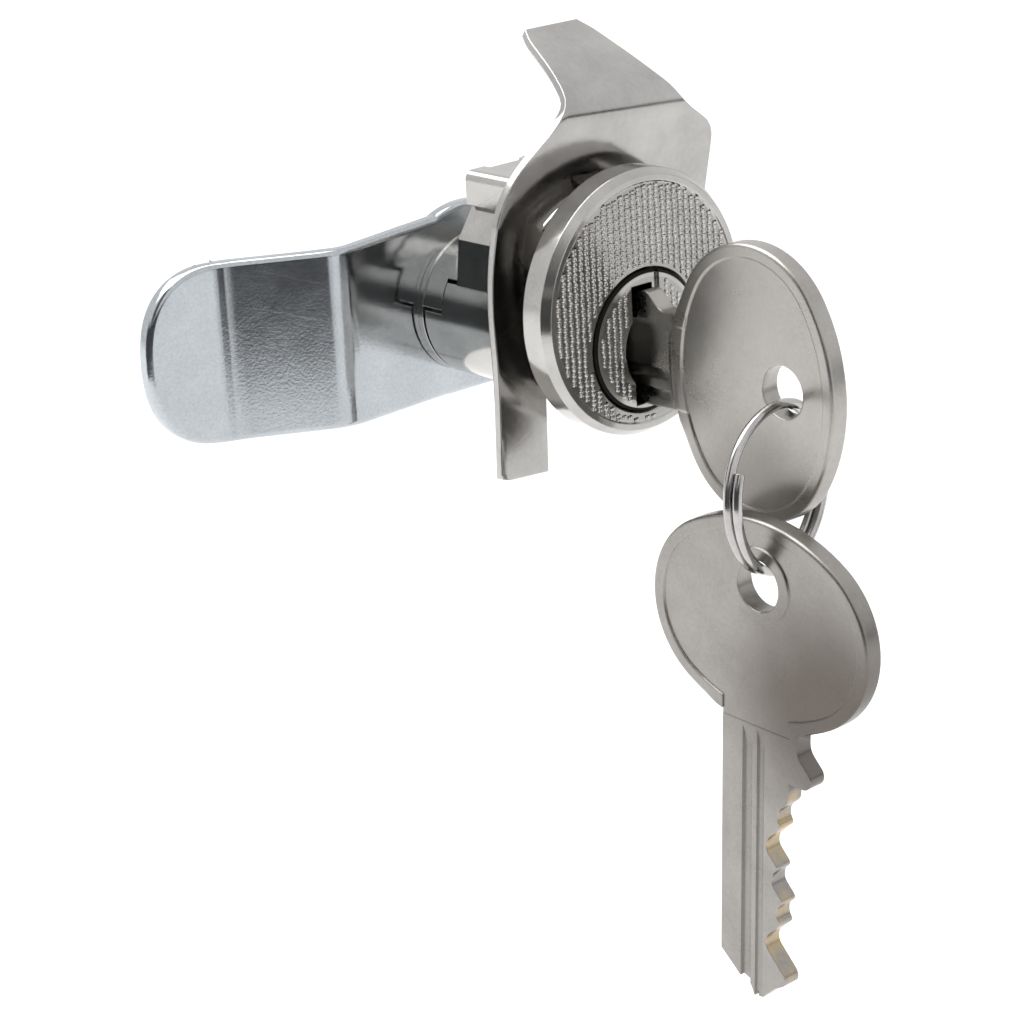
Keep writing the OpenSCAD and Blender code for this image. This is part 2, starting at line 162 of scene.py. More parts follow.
# fine plating grain, hairline scratches and cloudy tarnish, shared by all the metals
def buildMetalSkin():
    tree, start, end = newGroup(
        "metalSkin",
        {"Grain Size": 0.3, "Grain Depth": 1.0, "Scratch Size": 2.0, "Scratch Depth": 1.0, "Cloud Size": 6.0},
        {"Height": "NodeSocketFloat", "Cloud": "NodeSocketFloat", "Scratch": "NodeSocketFloat",
         "Speck": "NodeSocketFloat"},
    )
    place = addNode(tree, "ShaderNodeTexCoord").outputs["Object"]
    grain = setInputs(addNode(tree, "ShaderNodeTexNoise"), Detail=3.0, Roughness=0.6)
    join(tree, place, grain.inputs["Vector"])
    join(tree, mathNode(tree, "DIVIDE", 1 / mm, start.outputs["Grain Size"]), grain.inputs["Scale"])
    cloud = setInputs(addNode(tree, "ShaderNodeTexNoise"), Detail=5.0, Roughness=0.62)
    join(tree, place, cloud.inputs["Vector"])
    join(tree, mathNode(tree, "DIVIDE", 1 / mm, start.outputs["Cloud Size"]), cloud.inputs["Scale"])
    scratches = []
    for turn in ((0.5, 0.35, 0.5), (0.9, -0.6, 2.1)):
        slant = addNode(tree, "ShaderNodeMapping")
        slant.inputs["Rotation"].default_value = turn
        join(tree, place, slant.inputs["Vector"])
        stretch = addNode(tree, "ShaderNodeMapping")
        stretch.inputs["Scale"].default_value = (1.0, 1.0, 120.0)
        join(tree, slant.outputs[0], stretch.inputs["Vector"])
        lines = setInputs(addNode(tree, "ShaderNodeTexNoise"), Detail=1.0, Roughness=0.4)
        join(tree, stretch.outputs[0], lines.inputs["Vector"])
        join(tree, mathNode(tree, "DIVIDE", 0.2 / mm, start.outputs["Scratch Size"]), lines.inputs["Scale"])
        ramp = setInputs(addNode(tree, "ShaderNodeMapRange"), From_Min=0.68, From_Max=0.76)
        join(tree, lines.outputs["Fac"], ramp.inputs["Value"])
        scratches.append(ramp.outputs[0])
    both = mathNode(tree, "MAXIMUM", scratches[0], scratches[1])
    grainHeight = mathNode(tree, "MULTIPLY", grain.outputs["Fac"], start.outputs["Grain Depth"])
    scratchHeight = mathNode(tree, "MULTIPLY", both, start.outputs["Scratch Depth"])
    join(tree, mathNode(tree, "SUBTRACT", grainHeight, scratchHeight), end.inputs["Height"])
    join(tree, cloud.outputs["Fac"], end.inputs["Cloud"])
    join(tree, both, end.inputs["Scratch"])
    join(tree, grain.outputs["Fac"], end.inputs["Speck"])
    return tree


metalSkin = buildMetalSkin()


def placeInMm(tree):
    inMm = addNode(tree, "ShaderNodeVectorMath", operation="SCALE")
    inMm.inputs["Scale"].default_value = 1 / mm
    join(tree, addNode(tree, "ShaderNodeTexCoord").outputs["Object"], inMm.inputs[0])
    return inMm.outputs[0]


def lengthOf(tree, first, second):
    squares = [mathNode(tree, "MULTIPLY", value, value) for value in (first, second)]
    return mathNode(tree, "SQRT", mathNode(tree, "ADD", *squares), 0.0)


# painted shade on the lock's face, in the gap round the plug and in the key mouth, and a darker ground
# between the grains
# each span is low, high and the softness of its ends
faceShadeAndGroundSpans = {
    "gap": (5.63, 5.99, 0.03), "gapY": (-5, 0.5, 0.05),
    "mouthX": (-1.7, 0.95, 0.02), "mouthY": (-2.62, 30, 0.14), "mouthZ": (-5.3, 4.85, 0.02),
    "headGround": (-2.662, -2.6, 0.005), "headReach": (-1, 9.85, 0.05), "headMiddle": 3.15,
    "plugGround": (-2.806, -2.77, 0.005), "plugReach": (-1, 5.3, 0.05),
}


def buildFaceShadeAndGround(groundAndShade):
    tree, start, end = newGroup("faceShadeAndGroundSpans", {}, {"PaintedShade": "NodeSocketFloat", "Ground": "NodeSocketFloat"})
    split = addNode(tree, "ShaderNodeSeparateXYZ")
    join(tree, placeInMm(tree), split.inputs[0])
    x, y, z = split.outputs
    fromAxis = lengthOf(tree, x, z)
    fromMiddle = lengthOf(tree, x, mathNode(tree, "SUBTRACT", z, groundAndShade["headMiddle"]))
    gap = mathNode(tree, "MULTIPLY", band(tree, fromAxis, *groundAndShade["gap"]), band(tree, y, *groundAndShade["gapY"]))
    mouth = mathNode(tree, "MULTIPLY", band(tree, x, *groundAndShade["mouthX"]), band(tree, z, *groundAndShade["mouthZ"]))
    mouth = mathNode(tree, "MULTIPLY", mouth, band(tree, y, *groundAndShade["mouthY"]))
    # painted shade: near black in the gap round the plug and in the key mouth
    paintedShade = mathNode(tree, "MAXIMUM", gap, mouth)
    headGround = mathNode(tree, "MULTIPLY", band(tree, y, *groundAndShade["headGround"]),
                          band(tree, fromMiddle, *groundAndShade["headReach"]))
    plugGround = mathNode(tree, "MULTIPLY", band(tree, y, *groundAndShade["plugGround"]),
                          band(tree, fromAxis, *groundAndShade["plugReach"]))
    join(tree, paintedShade, end.inputs["PaintedShade"])
    join(tree, mathNode(tree, "MAXIMUM", headGround, plugGround), end.inputs["Ground"])
    return tree


faceShadeAndGroundGroup = buildFaceShadeAndGround(faceShadeAndGroundSpans)


# painted dark reflection: a dark patch round one spot of the piece
def buildPaintedDarkPatch():
    tree, start, end = newGroup(
        "paintedDarkPatch", {"Spot X": 0.0, "Spot Y": 0.0, "Spot Z": 0.0, "Near": 3.0, "Far": 10.0},
        {"DarkPatch": "NodeSocketFloat"},
    )
    place = placeInMm(tree)
    spot = addNode(tree, "ShaderNodeCombineXYZ")
    for axis in "XYZ":
        join(tree, start.outputs["Spot " + axis], spot.inputs[axis])
    away = addNode(tree, "ShaderNodeVectorMath", operation="DISTANCE")
    join(tree, place, away.inputs[0])
    join(tree, spot.outputs[0], away.inputs[1])
    ripple = setInputs(addNode(tree, "ShaderNodeTexNoise"), Scale=0.25, Detail=4.0)
    join(tree, place, ripple.inputs["Vector"])
    swing = mathNode(tree, "MULTIPLY", ripple.outputs["Fac"], 2.0)
    wavy = mathNode(tree, "ADD", away.outputs["Value"], swing)
    fade = addNode(tree, "ShaderNodeMapRange", interpolation_type="SMOOTHSTEP")
    join(tree, wavy, fade.inputs["Value"])
    join(tree, mathNode(tree, "ADD", start.outputs["Near"], 1.0), fade.inputs["From Max"])
    join(tree, mathNode(tree, "ADD", start.outputs["Far"], 1.0), fade.inputs["From Min"])
    join(tree, fade.outputs[0], end.inputs["DarkPatch"])
    return tree


paintedDarkPatch = buildPaintedDarkPatch()


def mixColour(tree, factor, first, second):
    node = addNode(tree, "ShaderNodeMix", data_type="RGBA")
    join(tree, factor, node.inputs[0])
    for socket, value in ((node.inputs[6], first), (node.inputs[7], second)):
        if isinstance(value, tuple):
            socket.default_value = (*value, 1)
        else:
            join(tree, value, socket)
    return node.outputs[2]


metalTone = {
    "ramp": (0.36, 0.64), "edgeSamples": 6, "wear": (0.995, 0.85, 0.8), "cloudSpan": (0.3, 0.7),
    # the near-black colour and roughness here paint shade in the plug gap and key mouth
    "scratchRough": 0.04, "groundShare": 0.6, "paintedShade": (0.02, 0.019, 0.018), "paintedShadeRough": 0.5,
    "brassSpan": (0.46, 0.6), "bumpDepth": 0.02, "speck": 0.2,
}


# one metal finish: colours run from clean to tarnished with the cloud, edges are rubbed bright
def makeMetal(look):
    material = bpy.data.materials.new(look["name"])
    material.use_nodes = True
    tree = material.node_tree
    shader = tree.nodes["Principled BSDF"]
    shader.inputs["Metallic"].default_value = 1.0
    skin = addNode(tree, "ShaderNodeGroup", node_tree=metalSkin)
    for label, value in look["skin"].items():
        skin.inputs[label].default_value = value
    speckShare = look.get("speck", metalTone["speck"])
    stain = mathNode(tree, "ADD", mathNode(tree, "MULTIPLY", skin.outputs["Cloud"], 1 - speckShare),
                     mathNode(tree, "MULTIPLY", skin.outputs["Speck"], speckShare))
    tone = addNode(tree, "ShaderNodeValToRGB")
    for stop, position, shade in zip(tone.color_ramp.elements, metalTone["ramp"], ("dark", "light")):
        stop.position = position
        stop.color = (*look[shade], 1)
    join(tree, stain, tone.inputs["Fac"])
    rounded = addNode(tree, "ShaderNodeBevel", samples=metalTone["edgeSamples"])
    rounded.inputs["Radius"].default_value = look["edge"] * mm
    # edge wear: where the rounded normal leaves the flat one
    flat = addNode(tree, "ShaderNodeNewGeometry").outputs["Normal"]
    same = addNode(tree, "ShaderNodeVectorMath", operation="DOT_PRODUCT")
    join(tree, rounded.outputs[0], same.inputs[0])
    join(tree, flat, same.inputs[1])
    flatFrom, flatTo, most = metalTone["wear"]
    rub = setInputs(addNode(tree, "ShaderNodeMapRange"), From_Min=flatFrom, From_Max=flatTo, To_Max=most)
    join(tree, same.outputs["Value"], rub.inputs["Value"])
    wear = mathNode(tree, "MULTIPLY", rub.outputs[0], skin.outputs["Cloud"])
    colour = mixColour(tree, wear, tone.outputs["Color"], look["rub"])
    low, high = metalTone["cloudSpan"]
    gloss = setInputs(addNode(tree, "ShaderNodeMapRange"), From_Min=low, From_Max=high)
    gloss.inputs["To Min"].default_value, gloss.inputs["To Max"].default_value = look["rough"]
    join(tree, skin.outputs["Cloud"], gloss.inputs["Value"])
    dull = mathNode(tree, "MULTIPLY", skin.outputs["Scratch"], metalTone["scratchRough"])
    roughness = mathNode(tree, "ADD", gloss.outputs[0], dull)
    # darker ground between the grains, and painted shade in the plug gap and the key mouth
    if look.get("groundAndShade"):
        shadeAndGroundNode = addNode(tree, "ShaderNodeGroup", node_tree=faceShadeAndGroundGroup)
        ground = mathNode(tree, "MULTIPLY", shadeAndGroundNode.outputs["Ground"], metalTone["groundShare"])
        colour = mixColour(tree, ground, colour, look["groundAndShade"])
        colour = mixColour(tree, shadeAndGroundNode.outputs["PaintedShade"], colour, metalTone["paintedShade"])
        dull = mathNode(tree, "MULTIPLY", shadeAndGroundNode.outputs["PaintedShade"], metalTone["paintedShadeRough"])
        roughness = mathNode(tree, "ADD", roughness, dull)
    # painted dark reflection towards the bottom of the bow
    if look.get("darkPatch"):
        darkPatch = look["darkPatch"]
        darkPatchMask = addNode(tree, "ShaderNodeGroup", node_tree=paintedDarkPatch)
        for axis, value in zip("XYZ", darkPatch["spot"]):
            darkPatchMask.inputs["Spot " + axis].default_value = value
        darkPatchMask.inputs["Near"].default_value, darkPatchMask.inputs["Far"].default_value = darkPatch["reach"]
        darkPatchShare = mathNode(tree, "MULTIPLY", darkPatchMask.outputs[0], darkPatch["strength"])
        colour = mixColour(tree, darkPatchShare, colour, darkPatch["tone"])
    if look.get("cut"):
        cut = addNode(tree, "ShaderNodeAttribute", attribute_name="cutFace").outputs["Fac"]
        low, high = metalTone["brassSpan"]
        patch = setInputs(addNode(tree, "ShaderNodeMapRange"), From_Min=low, From_Max=high)
        join(tree, skin.outputs["Cloud"], patch.inputs["Value"])
        colour = mixColour(tree, mathNode(tree, "MULTIPLY", cut, patch.outputs[0]), colour, look["cut"])
    join(tree, colour, shader.inputs["Base Color"])
    join(tree, roughness, shader.inputs["Roughness"])
    bump = addNode(tree, "ShaderNodeBump")
    setInputs(bump, Strength=look["bump"], Distance=metalTone["bumpDepth"] * mm)
    join(tree, skin.outputs["Height"], bump.inputs["Height"])
    join(tree, rounded.outputs[0], bump.inputs["Normal"])
    join(tree, bump.outputs[0], shader.inputs["Normal"])
    return material


nickelLook = {
    "name": "brightNickel", "dark": (0.40, 0.39, 0.375), "light": (0.50, 0.49, 0.47),
    # ground colour between the grains; it also switches on the painted shade of the plug gap and key mouth
    "rub": (0.66, 0.65, 0.63), "groundAndShade": (0.30, 0.295, 0.285), "rough": (0.10, 0.17),
    "bump": 0.25, "edge": 0.12,
    "skin": {"Grain Size": 0.25, "Grain Depth": 0.5,
             "Scratch Size": 3.0, "Scratch Depth": 0.1, "Cloud Size": 5.0},
}
beadLook = {
    "name": "beadNickel", "dark": (0.42, 0.41, 0.40), "light": (0.58, 0.57, 0.555),
    "rub": (0.66, 0.65, 0.63), "rough": (0.12, 0.2), "bump": 0.3, "edge": 0.03, "speck": 0.4,
    "skin": {"Grain Size": 0.3, "Grain Depth": 0.8,
             "Scratch Size": 3.0, "Scratch Depth": 0.2, "Cloud Size": 2.5},
}
clipLook = {
    "name": "clipNickel", "dark": (0.38, 0.37, 0.36), "light": (0.49, 0.48, 0.465),
    "rub": (0.62, 0.61, 0.59), "rough": (0.13, 0.2), "bump": 0.3, "edge": 0.14,
    "skin": {"Grain Size": 0.5, "Grain Depth": 0.6,
             "Scratch Size": 4.0, "Scratch Depth": 0.1, "Cloud Size": 7.0},
}
camLook = {
    "name": "camZinc", "dark": (0.40, 0.425, 0.445), "light": (0.52, 0.55, 0.575),
    "rub": (0.64, 0.67, 0.69), "rough": (0.085, 0.13), "bump": 0.26, "edge": 0.1, "speck": 0.5,
    "skin": {"Grain Size": 0.24, "Grain Depth": 0.8,
             "Scratch Size": 4.0, "Scratch Depth": 0.04, "Cloud Size": 6.0},
}
keyLook = {
    "name": "keyNickel", "dark": (0.36, 0.345, 0.325), "light": (0.45, 0.436, 0.415),
    "rub": (0.56, 0.54, 0.51), "cut": (0.50, 0.40, 0.26), "rough": (0.25, 0.34),
    "bump": 0.25, "edge": 0.22, "speck": 0.3,
    # painted dark reflection towards the bottom of the bow
    "darkPatch": {"spot": (-0.9, -15.5, -12.0), "reach": (3.0, 11.0),
              "strength": 0.6, "tone": (0.12, 0.108, 0.095)},
    "skin": {"Grain Size": 0.3, "Grain Depth": 0.1,
             "Scratch Size": 3.0, "Scratch Depth": 0.04, "Cloud Size": 5.0},
}
# a darker copy of the key finish: painted shade on the lower, spare key
shadedSpareLook = {
    "name": "shadedSpareNickel", "dark": (0.275, 0.262, 0.247), "light": (0.355, 0.340, 0.322),
    "rub": (0.50, 0.48, 0.45), "cut": (0.46, 0.36, 0.22), "rough": (0.25, 0.34),
    "bump": 0.25, "edge": 0.22, "speck": 0.3,
    # painted dark reflection towards the bottom of the bow
    "darkPatch": {"spot": (-5.4, -26.5, -25.5), "reach": (3.0, 14.0),
              "strength": 0.8, "tone": (0.085, 0.07, 0.057)},
    "skin": {"Grain Size": 0.3, "Grain Depth": 0.1,
             "Scratch Size": 3.0, "Scratch Depth": 0.04, "Cloud Size": 5.0},
}
ringLook = {
    "name": "ringSteel", "dark": (0.40, 0.39, 0.38), "light": (0.52, 0.51, 0.50),
    "rub": (0.62, 0.61, 0.60), "rough": (0.1, 0.18), "bump": 0.25, "edge": 0.06,
    "skin": {"Grain Size": 0.2, "Grain Depth": 0.5,
             "Scratch Size": 2.0, "Scratch Depth": 0.4, "Cloud Size": 3.0},
}
screwLook = {
    "name": "screwZinc", "dark": (0.40, 0.41, 0.42), "light": (0.52, 0.54, 0.56),
    "rub": (0.64, 0.65, 0.66), "rough": (0.2, 0.32), "bump": 0.45, "edge": 0.12,
    "skin": {"Grain Size": 0.2, "Grain Depth": 0.9,
             "Scratch Size": 2.0, "Scratch Depth": 0.3, "Cloud Size": 3.0},
}
brassLook = {
    "name": "pinBrass", "dark": (0.50, 0.36, 0.14), "light": (0.70, 0.53, 0.24),
    "rub": (0.8, 0.66, 0.36), "rough": (0.18, 0.28), "bump": 0.3, "edge": 0.08,
    "skin": {"Grain Size": 0.15, "Grain Depth": 0.7,
             "Scratch Size": 1.5, "Scratch Depth": 0.4, "Cloud Size": 2.0},
}
wireLook = {
    "name": "springWire", "dark": (0.34, 0.34, 0.34), "light": (0.46, 0.46, 0.46),
    "rub": (0.55, 0.55, 0.55), "rough": (0.2, 0.3), "bump": 0.3, "edge": 0.03,
    "skin": {"Grain Size": 0.1, "Grain Depth": 0.6,
             "Scratch Size": 1.0, "Scratch Depth": 0.3, "Cloud Size": 1.5},
}
brightNickel = makeMetal(nickelLook)
beadNickel = makeMetal(beadLook)
clipNickel = makeMetal(clipLook)
camZinc = makeMetal(camLook)
keyNickel = makeMetal(keyLook)
shadedSpareNickel = makeMetal(shadedSpareLook)
ringSteel = makeMetal(ringLook)
screwZinc = makeMetal(screwLook)
pinBrass = makeMetal(brassLook)
springWire = makeMetal(wireLook)
print("metals ready")

# finishes of the pieces that keep their own solids
nodeFinish = {
    "housing": brightNickel, "spring_cover": brightNickel, "plug": brightNickel, "stop_collar": brightNickel,
    "cam": camZinc, "lock_washer": screwZinc, "cam_screw": screwZinc, "mounting_clip": clipNickel,
    "key_inserted": keyNickel, "key_spare": shadedSpareNickel, "key_ring": ringSteel,
}
for number in range(1, 6):
    nodeFinish["key_pin_%d" % number] = pinBrass
    nodeFinish["driver_pin_%d" % number] = pinBrass
    nodeFinish["driver_spring_%d" % number] = springWire
for name, material in nodeFinish.items():
    nodes[name].data.materials.clear()
    nodes[name].data.materials.append(material)
print("solids dressed")


# raised grains of the face: one bead, repeated in upright rows, then trimmed to the face
headGrain = {
    "name": "headGrain", "body": "housing", "ground": -2.65, "middle": (0.0, 3.15),
    "reach": 9.86, "hole": 6.4, "rowPitch": 0.66, "beadPitch": 0.42, "beadHalf": (0.27, 0.25), "rise": 0.15,
}
plugGrain = {
    "name": "plugGrain", "body": "plug", "ground": -2.8, "middle": (0.0, 0.0), "reach": 5.12, "hole": 0.0,
    "rowPitch": 0.66, "beadPitch": 0.42, "beadHalf": (0.27, 0.24), "rise": 0.12,
    "mouth": (-2.05, 1.3, -5.6, 5.1), "notch": (0.5, 1.85, 3.3, 6.2), "bulge": (1.433, -0.7, 4.4),
}
castScatter = {"swell": 0.22, "rowShift": 0.2, "beadShift": 0.05, "sway": 0.03, "trim": 0.004}


def growGrain(grain):
    reach, middle = grain["reach"], grain["middle"]
    rows = int(2 * reach / grain["rowPitch"]) + 1
    beads = int(2 * reach / grain["beadPitch"]) + 2
    startX = middle[0] - (rows - 1) / 2 * grain["rowPitch"]
    startZ = middle[1] - (beads - 1) / 2 * grain["beadPitch"]
    deselectAll()
    upright = (math.radians(90), 0, 0)
    bpy.ops.mesh.primitive_uv_sphere_add(segments=8, ring_count=6, radius=1, rotation=upright)
    piece = takeOver(grain["name"])
    bpy.ops.object.transform_apply(location=False, rotation=True, scale=False)
    piece.scale = (grain["beadHalf"][0] * mm, grain["rise"] * mm, grain["beadHalf"][1] * mm)
    bpy.ops.object.transform_apply(location=False, rotation=False, scale=True)
    bpy.ops.object.mode_set(mode="EDIT")
    bpy.ops.mesh.select_all(action="SELECT")
    bpy.ops.mesh.bisect(plane_co=(0, castScatter["trim"] * mm, 0), plane_no=(0, 1, 0), clear_outer=True)
    bpy.ops.object.mode_set(mode="OBJECT")
    rowStep, beadStep = (grain["rowPitch"] * mm, 0, 0), (0, 0, grain["beadPitch"] * mm)
    for name, count, step in (("rows", rows, rowStep), ("beads", beads, beadStep)):
        array = piece.modifiers.new(name, "ARRAY")
        array.use_relative_offset = False
        array.use_constant_offset = True
        array.constant_offset_displace = step
        array.count = count
    applyAll(piece)
    piece.location = (startX * mm, grain["ground"] * mm, startZ * mm)
    bpy.ops.object.transform_apply(location=True, rotation=False, scale=False)
    # every row is shifted a little along itself, beads swell and shrink as cast
    dropped = []
    for vertex in piece.data.vertices:
        row = round((vertex.co.x / mm - startX) / grain["rowPitch"])
        bead = round((vertex.co.z / mm - startZ) / grain["beadPitch"])
        centreX = startX + row * grain["rowPitch"]
        centreZ = startZ + bead * grain["beadPitch"]
        swell = 1.0 + castScatter["swell"] * math.sin(row * 12.9898 + bead * 78.233)
        shift = castScatter["rowShift"] * math.sin(row * 4.1)
        shift += castScatter["beadShift"] * math.sin(bead * 2.7 + row)
        vertex.co.y = grain["ground"] * mm + (vertex.co.y - grain["ground"] * mm) * swell
        vertex.co.x += castScatter["sway"] * mm * math.sin(bead * 5.3 + row * 1.7)
        vertex.co.z += shift * mm
        centreZ += shift
        far = math.hypot(centreX - middle[0], centreZ - middle[1])
        outside = far > reach or math.hypot(centreX, centreZ) < grain["hole"]
        for key in ("mouth", "notch"):
            if key in grain:
                low, high, bottom, top = grain[key]
                inMouth = low < centreX < high and bottom < centreZ < top
                outside = outside or inMouth
        if "bulge" in grain:
            bulgeX, bulgeZ, bulgeR = grain["bulge"]
            outside = outside or (centreX < 0 and math.hypot(centreX - bulgeX, centreZ - bulgeZ) < bulgeR)
        dropped.append(outside)
    activate(piece)
    bpy.ops.object.mode_set(mode="EDIT")
    bpy.ops.mesh.select_all(action="DESELECT")
    bpy.ops.mesh.select_mode(type="VERT")
    bpy.ops.object.mode_set(mode="OBJECT")
    for vertex, drop in zip(piece.data.vertices, dropped):
        vertex.select = drop
    bpy.ops.object.mode_set(mode="EDIT")
    bpy.ops.mesh.delete(type="VERT")
    bpy.ops.object.mode_set(mode="OBJECT")
    smoothBy(piece, 60)
    finishPiece(piece, grain["body"], "bright_nickel", beadNickel)


for grain in (headGrain, plugGrain):
    growGrain(grain)
print("face grains made")


# wire wound by a screw modifier round Z; lay gives each point's height from its turn angle
def windWire(name, wireRadius, coilRadius, startAngle, endAngle, stepsPerTurn, sides, lay):
    turns = (endAngle - startAngle) / 360
    steps = round(turns * stepsPerTurn)
    tall = steps * 4 * wireRadius
    deselectAll()
    bpy.ops.mesh.primitive_circle_add(
        vertices=sides, radius=wireRadius * mm, location=(coilRadius * mm, 0, 0),
        rotation=(math.radians(90), 0, 0))
    piece = takeOver(name)
    bpy.ops.object.transform_apply(location=True, rotation=True, scale=True)
    coil = piece.modifiers.new("coil", "SCREW")
    coil.axis = "Z"
    coil.angle = math.radians(endAngle - startAngle)
    coil.steps = coil.render_steps = steps
    coil.screw_offset = tall * mm
    coil.use_merge_vertices = False
    applyAll(piece)
    levels = len(piece.data.vertices) // sides
    rise = tall / (levels - 1)
    spin = Matrix.Rotation(math.radians(startAngle), 4, "Z")
    for vertex in piece.data.vertices:
        level = round(vertex.co.z / mm / rise)
        angle = startAngle + (endAngle - startAngle) * level / (levels - 1)
        vertex.co.z += (lay(angle) - level * rise) * mm
        vertex.co = spin @ vertex.co
    activate(piece)
    bpy.ops.object.mode_set(mode="EDIT")
    bpy.ops.mesh.select_all(action="SELECT")
    bpy.ops.mesh.fill_holes(sides=sides)
    bpy.ops.mesh.select_all(action="SELECT")
    bpy.ops.mesh.normals_make_consistent(inside=False)
    bpy.ops.object.mode_set(mode="OBJECT")
    smoothBy(piece, 50)
    return piece


# split ring: nearly two turns of wire side by side with one jog
splitRing = {
    "wire": 0.4, "radius": 6.7, "apart": 0.41, "start": 155.0, "jog": (425.0, 515.0), "end": 785.0,
    "middle": (-2.35, -19.275, -8.65), "yaw": 13.0, "lean": -0.63, "steps": 72, "sides": 14,
}


def ringLay(angle):
    low, high = splitRing["jog"]
    along = min(1, max(0, (angle - low) / (high - low)))
    eased = along * along * (3 - 2 * along)
    return splitRing["apart"] * (1 - 2 * eased)


ring = windWire("splitRing", splitRing["wire"], splitRing["radius"], splitRing["start"], splitRing["end"],
                splitRing["steps"], splitRing["sides"], ringLay)
place = Matrix.Translation(Vector(splitRing["middle"]) * mm)
place = place @ Matrix.Rotation(math.radians(splitRing["yaw"]), 4, "Z")
place = place @ Matrix.Rotation(math.radians(90 + splitRing["lean"]), 4, "X")
ring.data.transform(place)
finishPiece(ring, "ring", "ring_steel", ringSteel, "key_ring")
print("split ring made")

# driver springs: closed end turns, open middle
driverSpring = {
    "wire": 0.13, "radius": 0.82, "low": 8.43, "high": 12.08, "turns": 5, "closed": 0.8,
    "anchor": 12.1, "keep": 0.62, "steps": 20, "sides": 8,
    "rows": (0.9, 3.85, 6.8, 9.75, 12.7),
}


def springLay(angle):
    wire, closed = driverSpring["wire"], driverSpring["closed"]
    pitch = 2 * wire
    turn = angle / 360
    openTurns = driverSpring["turns"] - 2 * closed
    bottom, top = driverSpring["low"] + wire, driverSpring["high"] - wire
    low, high = bottom + pitch * closed, top - pitch * closed
    if turn < closed:
        return bottom + pitch * turn
    if turn > driverSpring["turns"] - closed:
        return high + pitch * (turn - driverSpring["turns"] + closed)
    return low + (high - low) * (turn - closed) / openTurns


springs = []
for number, row in enumerate(driverSpring["rows"], 1):
    name = "driverSpring%d" % number
    if springs:
        spring = bpy.data.objects.new(name, springs[0].data.copy())
        bpy.context.scene.collection.objects.link(spring)
        spring.data.transform(Matrix.Translation((0, (row - driverSpring["rows"][0]) * mm, 0)))
    else:
        spring = windWire(name, driverSpring["wire"], driverSpring["radius"], 0, 360 * driverSpring["turns"],
                          driverSpring["steps"], driverSpring["sides"], springLay)
        spring.data.transform(Matrix.Translation((0, row * mm, 0)))
    springs.append(spring)
for number, spring in enumerate(springs, 1):
    finishPiece(spring, "housing", "spring_wire", springWire, "driver_spring_%d" % number)
    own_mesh(spring)
print("springs wound")


# rounds the sharp edges that the test picks
def roundEdges(piece, wanted, width, segments, clamp=True):
    activate(piece)
    bpy.ops.object.mode_set(mode="EDIT")
    bpy.ops.mesh.select_mode(type="EDGE")
    bpy.ops.mesh.select_all(action="SELECT")
    bpy.ops.mesh.dissolve_limited(angle_limit=math.radians(1.0))
    bpy.ops.mesh.select_all(action="DESELECT")
    bpy.ops.mesh.edges_select_sharp(sharpness=math.radians(20))
    bpy.ops.object.mode_set(mode="OBJECT")
    corners = piece.data.vertices
    for part in list(corners) + list(piece.data.polygons):
        part.select = False
    for edge in piece.data.edges:
        if edge.select:
            first, second = (corners[index].co / mm for index in edge.vertices)
            edge.select = wanted(first, second)
    picked = sum(edge.select for edge in piece.data.edges)
    bpy.ops.object.mode_set(mode="EDIT")
    bpy.ops.mesh.bevel(offset=width * mm, segments=segments, profile=0.5, clamp_overlap=clamp, affect="EDGES")
    bpy.ops.object.mode_set(mode="OBJECT")
    print(piece.name, "edges rounded:", picked)


def softenEdges(piece, width, segments):
    soft = piece.modifiers.new("softEdge", "BEVEL")
    soft.width = width * mm
    soft.segments = segments
    soft.limit_method = "ANGLE"
    soft.angle_limit = math.radians(50)


# smooth shading that leaves the large faces flat
def levelShade(piece, degrees):
    smoothBy(piece, degrees)
    weigh = piece.modifiers.new("flatFaces", "WEIGHTED_NORMAL")
    weigh.weight = 100
    weigh.keep_sharp = True
    applyAll(piece)


# keys: the cuts are rounded by the file and show bare brass
keyShape = {
    "cutRound": 0.36, "cutSpan": (-2.0, 18.6), "cutLow": -2.5, "cutWide": 1.2, "cutSame": 0.01,
    "bareSlant": 0.1, "bareHalf": 0.15, "bowMiddle": (-15.25, -1.4), "bowHalf": (8.9, 11.5), "bowRound": 0.28,
    "rimFrom": 0.94, "rimEnd": -7.2, "rimSide": 0.88,
}
spareSeat = {
    "hole": (-4.7, -19.9, -15.9), "yaw": 1.4, "tilt": 4.2, "lean": -0.9, "keyHole": (0.0, -18.65, -1.4),
}


def isInCuts(spot):
    return keyShape["cutSpan"][0] < spot.y < keyShape["cutSpan"][1] and spot.z > keyShape["cutLow"]


def isCutEdge(first, second):
    isAcross = abs(first.x - second.x) > keyShape["cutWide"]
    return isAcross and (first - second).yz.length < keyShape["cutSame"] and isInCuts(first)


def isBowRim(first, second):
    for corner in (first, second):
        out = math.hypot((corner.y - keyShape["bowMiddle"][0]) / keyShape["bowHalf"][0],
                         (corner.z - keyShape["bowMiddle"][1]) / keyShape["bowHalf"][1])
        if out < keyShape["rimFrom"] or corner.y > keyShape["rimEnd"] or abs(corner.x) < keyShape["rimSide"]:
            return False
    return True


key = copyOfNode("key_inserted", "keyInLock")
roundEdges(key, isCutEdge, keyShape["cutRound"], 4, False)
roundEdges(key, isBowRim, keyShape["bowRound"], 3, False)
levelShade(key, 40)

